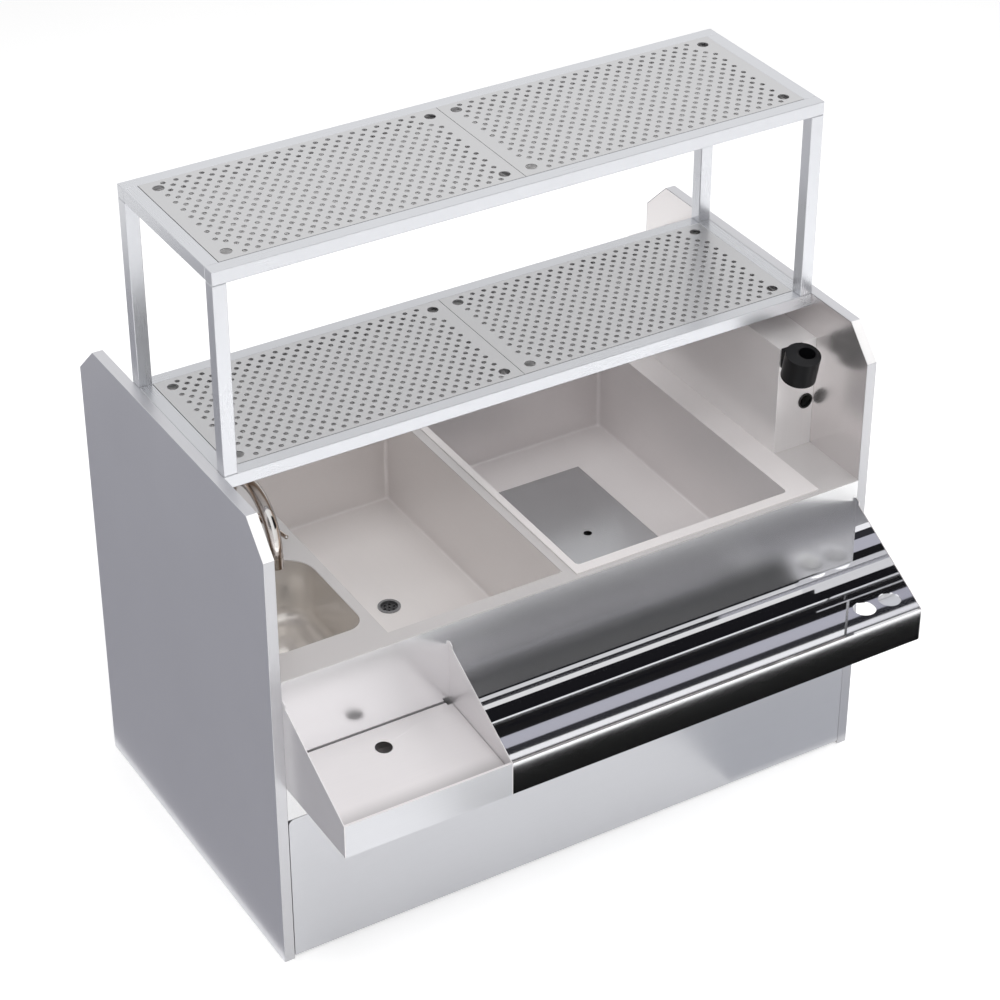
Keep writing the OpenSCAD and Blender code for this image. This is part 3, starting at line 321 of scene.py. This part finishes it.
# The mixer tap behind the bowl: a polished body on the deck with a side cartridge, a swivelling swan
# neck and a slim lever that tilts and turns.
def polished(name, bands):
    """Bright chrome, with dark and warm painted reflection bands in its colour, set by how far a face turns
    from the eye.
    """
    m = satin(name, (1, 1, 1), 0.07, mark=0.01, cloud=0.02, bump=0.0, metal=1.0)
    n, link = m.node_tree.nodes, m.node_tree.links.new
    turn = n.new("ShaderNodeLayerWeight")
    turn.inputs["Blend"].default_value = 0.5
    ramp = n.new("ShaderNodeValToRGB")
    ramp.color_ramp.elements[0].position, ramp.color_ramp.elements[0].color = bands[0][0], (*bands[0][1], 1)
    ramp.color_ramp.elements[1].position, ramp.color_ramp.elements[1].color = bands[-1][0], (*bands[-1][1], 1)
    for place, colour in bands[1:-1]:
        ramp.color_ramp.elements.new(place).color = (*colour, 1)
    link(turn.outputs["Facing"], ramp.inputs["Fac"])
    link(ramp.outputs["Color"], n["Principled BSDF"].inputs["Base Color"])
    return m


# Painted reflection bands for the chrome: places on the facing ramp and their colours.
painted_reflection_bands = ((0.0, (0.92, 0.91, 0.90)), (0.16, (0.78, 0.74, 0.70)), (0.26, (0.28, 0.20, 0.15)),
            (0.40, (0.52, 0.43, 0.36)), (0.52, (0.90, 0.88, 0.86)), (0.70, (0.20, 0.17, 0.15)),
            (0.86, (0.72, 0.68, 0.64)))
chrome = polished("tap_chrome", painted_reflection_bands)
dress(chrome, "tap_body", "tap_spout", "tap_nozzle", "tap_cap", "tap_lever")
dress(moulded("cartridge_ceramic", (0.80, 0.79, 0.74), 0.35, grain=0.02), "tap_cartridge")
dress(satin("turned_brass", (0.72, 0.56, 0.26), 0.25), "tap_backnut")
dress(satin("drawn_copper", (0.80, 0.42, 0.26), 0.25, along=(0, 0, 1)), "tap_tails")

# The housing for the bar gun's lines: a box folded from satin sheet, standing on the deck against
# the right side panel.
housing_sheet = satin("housing_sheet", (0.87, 0.85, 0.85), 0.32, along=(0, 0, 1), metal=0.5)
dress(housing_sheet, "gun_housing")
housing_fold = 0.0006
ease(housing_fold, "gun_housing")

# The holster on the housing's front: gloss black, on a moulded saddle, with a grommet for the hose
# in the sheet below.
holster_gloss = moulded("holster_gloss", (0.006, 0.006, 0.007), 0.30, grain=0.01, shine=0.22)
dress(holster_gloss, "gun_holster", "holster_bracket")
dress(moulded("grommet_rubber", (0.010, 0.010, 0.010), 0.45), "hose_grommet")

# Both racks and their posts: square stainless tube, mitred at the corners, welded, and brushed
# along its length.
tube_colour, tube_corner = (0.68, 0.69, 0.72), 0.0015
tube_x, tube_y, tube_z = [satin(name, tube_colour, 0.28, along=along, mark=0.02, bump=0.008)
                          for name, along in (("tube_along", (1, 0, 0)), ("tube_across", (0, 1, 0)),
                                              ("tube_up", (0, 0, 1)))]
for level in ("lower", "upper"):
    dress(tube_x, level + "_rail_front", level + "_rail_back")
    dress(tube_y, level + "_rail_left", level + "_rail_right")
    ease(tube_corner, *[level + "_rail_" + side for side in ("front", "back", "left", "right")])
for corner in ("front_left", "front_right", "back_left", "back_right"):
    dress(tube_z, "post_" + corner)
    ease(tube_corner, "post_" + corner)

# The drip pans in the racks and the punched panels that lie over them: thin satin sheet, each panel
# with four finger holes to lift it by.
pan_sheet = satin("pan_sheet", (0.93, 0.92, 0.92), 0.4, metal=0.2)
dress(pan_sheet, "lower_pan", "upper_pan")
punched_sheet = satin("punched_sheet", (0.62, 0.62, 0.63), 0.32)
dress(punched_sheet, "lower_panel_left", "lower_panel_right", "upper_panel_left", "upper_panel_right")

# The bottle rail: a deep trough of mirror-polished sheet along the front, with a drain hole near
# its right end.
mirror = satin("mirror_steel", (0.86, 0.86, 0.88), 0.05, mark=0.01, cloud=0.01, bump=0.0, metal=1.0)
dress(mirror, "bottle_rail")

# The tray at the left end of the trough: end plates, a channel and a loose plate with turned-down
# edges, all fine satin.
tray_sheet = satin("tray_sheet", (0.82, 0.79, 0.80), 0.36, metal=0.45)
dress(tray_sheet, "tray_channel")
# Painted shade on the loose plate: darker along its front under the channel's lip, and towards its right end
# beside the divider.
plate_sheet = paint_shade(satin("plate_sheet", (0.81, 0.78, 0.79), 0.36, metal=0.45),
                     "Y", start=-0.395, end=-0.440, factor=0.62)
dress(paint_shade(plate_sheet, "X", start=-0.42, end=-0.28, factor=0.86), "tray_plate")


lip_front, right_end, plate_fold = -0.4515, 0.5, 0.0004
# Painted shade: the faces of the channel's lip that look to the front get a darker copy of the tray sheet.
face_up(satin("lip_painted_shade", (0.60, 0.605, 0.63), 0.32), "tray_channel",
        lambda face: face.normal.y < -square_on and face.center.y < lip_front)
cheek_sheet = satin("cheek_sheet", (0.78, 0.76, 0.77), 0.32, along=(0, 1, 0), metal=0.6)
dress(cheek_sheet, "trough_plates")
face_up(mirror, "trough_plates", lambda face: face.normal.x < -square_on and face.center.x > right_end)
ease(plate_fold, "trough_plates", "tray_plate")


# The studio: a pale floor and a white surround, soft lamps that light the piece plainly, and a few
# cards that only polished steel mirrors.
def looked_at(n, link):
    """1 where the camera, polished metal or glass looks, 0 where a surface only gives light."""
    way = n.new("ShaderNodeLightPath")
    seen = way.outputs["Is Camera Ray"]
    for ray in ("Is Glossy Ray", "Is Transmission Ray"):
        most = n.new("ShaderNodeMath")
        most.operation = "MAXIMUM"
        link(seen, most.inputs[0])
        link(way.outputs[ray], most.inputs[1])
        seen = most.outputs[0]
    return seen


def studio_shade(name, colour, diffuse, lift):
    """A pale matt surface that stays white where the camera or polished metal looks at it."""
    m = bpy.data.materials.new(name)
    m.use_nodes = True
    n, link = m.node_tree.nodes, m.node_tree.links.new
    n.clear()
    out = n.new("ShaderNodeOutputMaterial")
    matt = n.new("ShaderNodeBsdfDiffuse")
    matt.inputs["Color"].default_value = (*diffuse, 1)
    glow = n.new("ShaderNodeEmission")
    glow.inputs["Color"].default_value = (*colour, 1)
    scale = n.new("ShaderNodeMath")
    scale.operation = "MULTIPLY"
    scale.inputs[1].default_value = lift
    link(looked_at(n, link), scale.inputs[0])
    link(scale.outputs[0], glow.inputs["Strength"])
    both = n.new("ShaderNodeAddShader")
    link(matt.outputs[0], both.inputs[0])
    link(glow.outputs[0], both.inputs[1])
    link(both.outputs[0], out.inputs["Surface"])
    return m


def stage_sheet(name, corners, material):
    bm = bmesh.new()
    bm.faces.new([bm.verts.new(c) for c in corners])
    mesh = bpy.data.meshes.new(name)
    bm.to_mesh(mesh)
    bm.free()
    mesh.materials.append(material)
    piece = bpy.data.objects.new(name, mesh)
    bpy.context.scene.collection.objects.link(piece)
    return piece


stage_sheet("floor", [(-14, -14, 0), (14, -14, 0), (14, 14, 0), (-14, 14, 0)],
            studio_shade("pale_floor", (1, 1, 1), (0.75, 0.75, 0.75), 0.45))


def card(name, corners, tone):
    """A card that only mirrored light sees, and only from its front."""
    m = bpy.data.materials.new(name)
    m.use_nodes = True
    n, link = m.node_tree.nodes, m.node_tree.links.new
    n.clear()
    glow = n.new("ShaderNodeEmission")
    glow.inputs["Color"].default_value = (*tone, 1)
    clear = n.new("ShaderNodeBsdfTransparent")
    side = n.new("ShaderNodeNewGeometry")
    pick = n.new("ShaderNodeMixShader")
    out = n.new("ShaderNodeOutputMaterial")
    link(side.outputs["Backfacing"], pick.inputs["Fac"])
    link(glow.outputs[0], pick.inputs[1])
    link(clear.outputs[0], pick.inputs[2])
    link(pick.outputs[0], out.inputs["Surface"])
    piece = stage_sheet(name, corners, m)
    piece.visible_camera = False
    piece.visible_diffuse = False
    piece.visible_shadow = False
    piece.visible_transmission = False
    return piece


def upright(x0, x1, y, z0, z1):
    """Corners of an upright card that faces the back, or the front when its ends are swapped."""
    return [(x1, y, z0), (x0, y, z0), (x0, y, z1), (x1, y, z1)]


def lying(x0, y0, x1, y1, z):
    """Corners of a lying card that faces up, or down when its ends are swapped."""
    return [(x0, y0, z), (x1, y0, z), (x1, y1, z), (x0, y1, z)]


card("left_card", lying(-2.4, -0.30, -0.61, 2.2, 0.002), (0.35, 0.35, 0.385))
card("front_card", lying(-0.15, -0.911, 1.10, -0.74, 0.004), (0.01, 0.01, 0.01))
card("far_card", lying(-1.5, -8.0, 5.0, -2.2, 0.003), (1.0, 1.0, 1.0))
card("side_card", lying(0.34, -0.56, 1.10, -0.26, 0.003), (0.60, 0.61, 0.65))
card("brow_card", upright(0.1, 2.6, -1.5, 1.20, 2.3), (0.010, 0.010, 0.012))
card("hood_card", lying(0.85, -0.46, -0.22, -0.26, 0.66), (0.010, 0.010, 0.012))
# Glowing strips just in front of the front sheet, seen only by mirrored light: painted reflection bands for
# the mirror-polished bottle rail.
strip_ends, strip_y = (0.575, -0.215), -0.2487
for name, low_z, high_z, tone in (("strip_low", 0.400, 0.442, (0.012, 0.012, 0.013)),
                                  ("strip_pale", 0.442, 0.470, (0.46, 0.46, 0.52)),
                                  ("strip_dark", 0.470, 0.487, (0.03, 0.03, 0.035)),
                                  ("strip_white", 0.487, 0.500, (0.95, 0.95, 0.97)),
                                  ("strip_top", 0.578, 0.602, (0.90, 0.90, 0.92))):
    card(name, upright(*strip_ends, strip_y, low_z, high_z), tone)


piece_middle = Vector((0, 0, 0.5))


def lamp(name, place, power, size):
    """A soft square lamp aimed at the middle of the piece, which polished metal doesn't mirror."""
    light = bpy.data.lights.new(name, "AREA")
    light.energy = power
    light.shape = "RECTANGLE"
    light.size = light.size_y = size
    holder = bpy.data.objects.new(name, light)
    holder.location = place
    holder.rotation_euler = (piece_middle - Vector(place)).to_track_quat("-Z", "Y").to_euler()
    holder.visible_glossy = False
    bpy.context.scene.collection.objects.link(holder)


lamp("key_lamp", (-0.4, -2.4, 4.2), 110, 2.4)
lamp("fill_lamp", (2.8, -1.5, 2.6), 40, 2.4)
lamp("top_lamp", (0, 0.6, 4.2), 92, 3)

world = bpy.data.worlds.new("surround")
bpy.context.scene.world = world
world.use_nodes = True
sky, join = world.node_tree.nodes, world.node_tree.links.new
sky.clear()
white, soft = sky.new("ShaderNodeBackground"), sky.new("ShaderNodeBackground")
white.inputs["Strength"].default_value = 1.0
soft.inputs["Strength"].default_value = 0.45
pick = sky.new("ShaderNodeMixShader")
surround = sky.new("ShaderNodeOutputWorld")
join(looked_at(sky, join), pick.inputs["Fac"])
join(soft.outputs[0], pick.inputs[1])
join(white.outputs[0], pick.inputs[2])
join(pick.outputs[0], surround.inputs["Surface"])
bpy.context.scene.view_settings.view_transform = "Standard"

# The camera: a long lens at the photograph's viewing angle, looking down on the piece from in front
# and from its left.
lens = bpy.data.cameras.new("camera")
lens.lens = 105.29
lens.sensor_width = 36.0
lens.sensor_fit = "AUTO"
viewer = bpy.data.objects.new("camera", lens)
viewer.location = (-2.2140, -3.6670, 3.4723)
viewer.rotation_euler = Vector((0.4273, 0.7137, -0.5550)).to_track_quat("-Z", "Y").to_euler()
bpy.context.scene.collection.objects.link(viewer)
bpy.context.scene.camera = viewer
